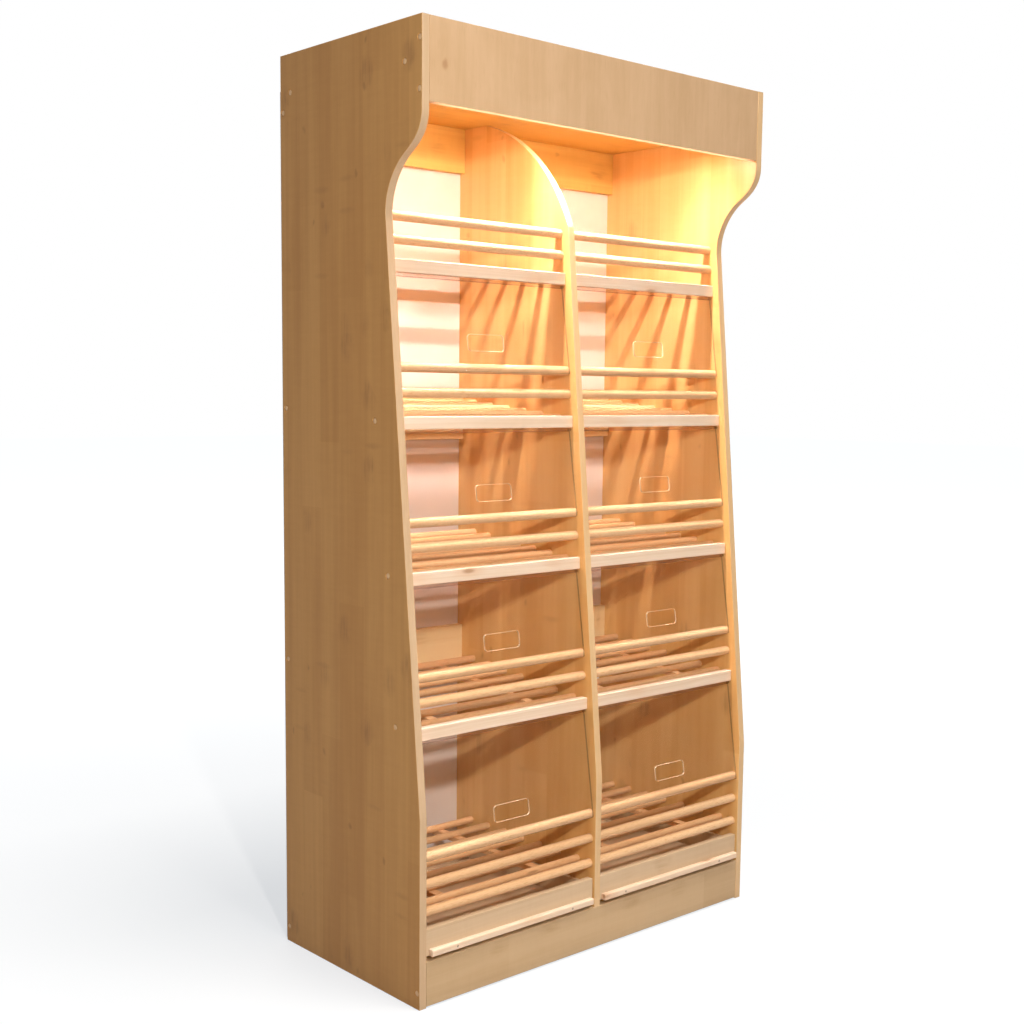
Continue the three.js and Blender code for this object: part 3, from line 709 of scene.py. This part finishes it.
def grid(centre_x, y, z, count, pitch, angle):
    """A shelf's grid: round dowels a pitch apart on two battens, all turned by the shelf's tilt."""
    low, high = centre_x - BAY_HALF, centre_x + BAY_HALF
    parts = [round_bar(low, high, y + i * pitch, z, DOWEL_R) for i in range(count)]
    start, end = y - DOWEL_R - BATTEN_OVER, y + (count - 1) * pitch + DOWEL_R + BATTEN_OVER
    for x in (centre_x - BATTEN_X, centre_x + BATTEN_X):
        corners = (x - BATTEN_HALF, start, z - BATTEN_FOOT), (x + BATTEN_HALF, end, z - BATTEN_TOP)
        parts.append(board(*corners, 1, EDGE_EASE))
    return [tilted(part, y, z, angle) for part in parts]


for i, (y0, z0) in enumerate(FIRST_DOWEL):
    key = f"shelf_{i + 1}"
    pitch = (REAR_DOWEL_Y - y0) / math.cos(TILT) / (DOWELS[i] - 1)
    for label, side in SIDES:
        lath = board(*node_span(f"{key}_board_{label}"), 0, LATH_EASE)
        make_piece(f"{key}_board_{label}_lath", [lath], [SOFTWOOD],
                   stands_for=[f"{key}_board_{label}"])
        dowels = grid(side * BAY_X, y0, z0, DOWELS[i], pitch, TILT)
        make_piece(f"{key}_grid_{label}_dowels", dowels, [BEECH_DOWEL_LIT_TONE],
                   stands_for=[f"{key}_grid_{label}"])
    for level, (ry, rz) in zip(("upper", "lower"), SHELF_RODS[i]):
        make_piece(f"{key}_rod_{level}_bar", [round_bar(-ROD_END, ROD_END, ry, rz, ROD_R)], [BEECH],
                   stands_for=[f"{key}_rod_{level}"])
for level, (ry, rz) in zip(("lower", "middle", "upper"), FLOOR_RODS):
    make_piece(f"floor_rod_{level}_bar", [round_bar(-ROD_END, ROD_END, ry, rz, ROD_R)], [BEECH],
               stands_for=[f"floor_rod_{level}"])
for label, side in SIDES:
    dowels = grid(side * BAY_X, *FLOOR_DOWEL, FLOOR_DOWELS, FLOOR_PITCH, 0.0)
    make_piece(f"floor_grid_{label}_dowels", dowels, [BEECH_DOWEL_LIT_TONE],
               stands_for=[f"floor_grid_{label}"])


# Flaps and drawers

def rounded_loop(low, high, radius, steps=7):
    """A rectangle with rounded corners, turning anticlockwise: each corner's centre plus a quarter circle."""
    low, high = np.array(low, float), np.array(high, float)
    turn = np.arange(4)[:, None] * (np.pi / 2) + np.linspace(0, np.pi / 2, steps)[None]
    corner = np.array([(1, 1), (-1, 1), (-1, -1), (1, -1)])[:, None]
    hub = corner * ((high - low) / 2 - radius) + (high + low) / 2
    loop = (hub + radius * np.stack([np.cos(turn), np.sin(turn)], -1)).reshape(-1, 2)
    curved = np.ones(len(loop), bool)
    curved[steps - 1::steps] = False
    return loop, curved


def flap(centre_x, y, z, length, lean):
    """A clear flap: a sheet with a grip cut right through it, hung from a round barrel with a pin at each
    end. The sheet is made across x and then laid in the plane of x and the direction up the leaning sheet."""
    sheet, curved = rounded_loop((-SHEET_HALF, -length), (SHEET_HALF, -SHEET_TOP), SHEET_CORNER, 5)
    grip_ends = (-GRIP_HALF, GRIP_LOW - length), (GRIP_HALF, GRIP_HIGH - length)
    grip = rounded_loop(*grip_ends, GRIP_CORNER, 9)[0][::-1]
    half = SHEET_THICK / 2
    points, groups = slab(-half, half, sheet, curved, SHEET_EASE, through=[grip], bevel=GRIP_BEVEL)
    up = np.array((0, math.sin(lean), math.cos(lean)))
    out = np.array((0, -math.cos(lean), math.sin(lean)))
    across = np.array((1.0, 0, 0))
    laid = points[:, :1] * out + points[:, 1:2] * across + points[:, 2:] * up + (centre_x, y, z)
    barrel = round_bar(centre_x - SHEET_HALF, centre_x + SHEET_HALF, y, z, BARREL_R, 0.5, 28)
    spans = ((centre_x - PIN_END, centre_x - PIN_START), (centre_x + PIN_START, centre_x + PIN_END))
    pins = [round_bar(*span, y, z, PIN_R, 0.4, 20) for span in spans]
    turned = []
    for skin, parts in (barrel, *pins):
        turned.append((skin, [(faces, soft, BARREL_SKIN) for faces, soft, _ in parts]))
    return [(laid, groups), *turned]


def flap_hang(i):
    """Length and lean of a flap: it hangs from its pivot and rests on the top guard rod below, a rod's
    radius, a small gap and half the sheet away from the rod's axis."""
    low = SHELF_RODS[i + 1][0] if i < 3 else FLOOR_RODS[-1]
    back, drop = low[0] - PIVOTS[i][0], PIVOTS[i][1] - low[1]
    away = ROD_R + SHEET_GAP + SHEET_THICK / 2
    lean = math.asin(away / math.hypot(back, drop)) - math.atan2(back, drop)
    return (drop + SHEET_OVER) / math.cos(lean), lean


for i, (py, pz) in enumerate(PIVOTS):
    for label, side in SIDES:
        body = f"flap_{i + 1}_{label}"
        skins = flap(side * BAY_X, py, pz, *flap_hang(i))
        make_piece(f"{body}_sheet", skins, ACRYLIC, body=body, stands_for=[body])

for label, side in SIDES:
    body = f"drawer_{label}"
    front = board(*node_span(f"drawer_front_{label}"), 0, EDGE_EASE)
    make_piece(f"drawer_front_{label}_board", [front], [MAPLE_LEVEL_LIGHT_TONE], body=body,
               stands_for=[f"drawer_front_{label}"])
    low, high = node_span(f"drawer_pull_{label}")
    low[1] += SCREW_RISE
    lath = board(low, high, 0, PULL_EASE, PULL_RADII)
    make_piece(f"drawer_pull_{label}_lath", [lath], [SOFTWOOD], body=body,
               stands_for=[f"drawer_pull_{label}"])
    places = [(side * BAY_X + at, low[1], SCREW_Z) for at in (-SCREW_X, SCREW_X)]
    screws = [dome(place, 1, -1, SCREW_R, SCREW_RISE, 16) for place in places]
    make_piece(f"drawer_screws_{label}", screws, [SCREW], body=body)

kept_nodes = {"back_sheet": WHITE_BACK, "drawer_tray_left": MAPLE_LEVEL_LIGHT_TONE, "drawer_tray_right": MAPLE_LEVEL_LIGHT_TONE}
for node, finish in kept_nodes.items():
    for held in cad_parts[node].material_slots:
        held.material = finish


# Studio

def area_light(name, place, target, size, watts, colour, spread=180):
    """An area lamp at a place, aimed at a target: its -Z axis points from one to the other."""
    data = bpy.data.lights.new(name, "AREA")
    data.shape = "RECTANGLE"
    data.size, data.size_y = size
    data.energy = watts
    data.color = colour
    data.spread = math.radians(spread)
    lamp = bpy.data.objects.new(name, data)
    lamp.location = place
    lamp.rotation_euler = (Vector(target) - Vector(place)).to_track_quat("-Z", "Y").to_euler()
    lamp.visible_camera = False
    bpy.context.scene.collection.objects.link(lamp)


area_light("key_light", (-1.55, -2.35, 1.80), (0, 0, 0.9), (0.1, 0.1), 45, (1.0, 0.96, 0.90))
area_light("overhead_light", (0.4, -2.4, 9.0), (0, 0, 0.8), (3.0, 3.0), 590, (1.0, 0.97, 0.93))
area_light("front_soft", (0.3, -4.6, 3.2), (0, 0, 0.9), (2.5, 2.0), 18, (1.0, 0.96, 0.92))
area_light("rear_fill", (2.4, 4.6, 3.2), (0, 0, 0.9), (3.0, 3.0), 75, (1.0, 0.97, 0.93))

# The rack's own lamp shines from just outside its diffuser: down, back and to the front
WARM = (1.0, 0.80, 0.72)
NEAR_WHITE = (1, 0.97, 0.95)
lamp_y, lamp_z = (119 + FRONT) * MM, 1.818
under, beside = (0.80, 0.016), (0.80, 0.014)
area_light("rack_lamp", (0, lamp_y, 1.811), (0, lamp_y, 1.0), under, 4.0, WARM)
area_light("rack_lamp_beam", (0, lamp_y, 1.8105), (0, lamp_y, 1.0), under, 7.8, WARM, 110)
area_light("rack_lamp_back", (0, lamp_y + 0.016, lamp_z), (0, lamp_y + 1, lamp_z), beside, 0.6, WARM)
area_light("rack_lamp_front", (0, lamp_y - 0.016, lamp_z), (0, lamp_y - 1, 1.218), beside, 1.8,
           NEAR_WHITE, 110)

# The fascia's lower edge catches light thrown back up
sill_y = (9 + FRONT) * MM
area_light("fascia_bounce", (0, sill_y, 1.70), (0, sill_y, 2.0), (0.92, 0.02), 0.28, WARM, 60)


def backdrop_share(f):
    """One for rays that show the backdrop itself: from the camera, off gloss or through clear sheet."""
    share = f.node("ShaderNodeLightPath", out="Is Camera Ray")
    for name in ("Is Glossy Ray", "Is Transmission Ray"):
        ray = f.node("ShaderNodeLightPath", out=name)
        share = f.node("ShaderNodeMath", {"operation": "MAXIMUM"}, {0: share, 1: ray})
    return share


world = bpy.data.worlds.new("studio")
bpy.context.scene.world = world
f = Finish("studio", world)
soft = f.node("ShaderNodeBackground", None, {"Color": (1.0, 0.60, 0.22, 1), "Strength": 0.12})
white = f.node("ShaderNodeBackground", None, {"Color": (1, 1, 1, 1), "Strength": 1.0})
sky = f.node("ShaderNodeMixShader", None, {0: backdrop_share(f), 1: soft, 2: white})
f.end(sky, "ShaderNodeOutputWorld")

floor_half, floor_z = 30, -0.0006
floor_mesh = bpy.data.meshes.new("studio_floor")
floor_corners = [(x * floor_half, y * floor_half, floor_z) for x, y in ((-1, -1), (1, -1), (1, 1), (-1, 1))]
floor_mesh.from_pydata(floor_corners, [], [(0, 1, 2, 3)])
floor = bpy.data.objects.new("studio_floor", floor_mesh)
bpy.context.scene.collection.objects.link(floor)
f = Finish("pale_floor")
cloud = f.noise(f.axes(), (0.8, 0.8, 0.8), 2.0)
pale = f.mix(cloud, (0.36, 0.355, 0.35, 1), (0.38, 0.375, 0.37, 1))
ground = f.node("ShaderNodeBsdfDiffuse", None, {"Color": pale})
away = f.length(f.axes(), (1, 1, 0))
share = backdrop_share(f) * (0.64 + 0.36 * away.rise(0.5, 6.0))
glow = f.mix(share, (0, 0, 0, 1), (0.94, 1.0, 1.06, 1))
lift = f.node("ShaderNodeEmission", None, {"Color": glow, "Strength": 1.0})
both = f.node("ShaderNodeAddShader", None, {0: ground, 1: lift})
floor_mesh.materials.append(f.end(both))

camera_data = bpy.data.cameras.new("camera")
camera_data.sensor_width = 36
camera_data.lens = 49.602
camera_data.shift_x, camera_data.shift_y = -0.00935, 0.04026
camera = bpy.data.objects.new("camera", camera_data)
camera.location = (-2.16161, -2.38508, 1.23789)
camera.rotation_euler = tuple(math.radians(turn) for turn in (83.43005, -0.62940, -41.82131))
bpy.context.scene.collection.objects.link(camera)
bpy.context.scene.camera = camera
bpy.context.scene.view_settings.view_transform = "Standard"
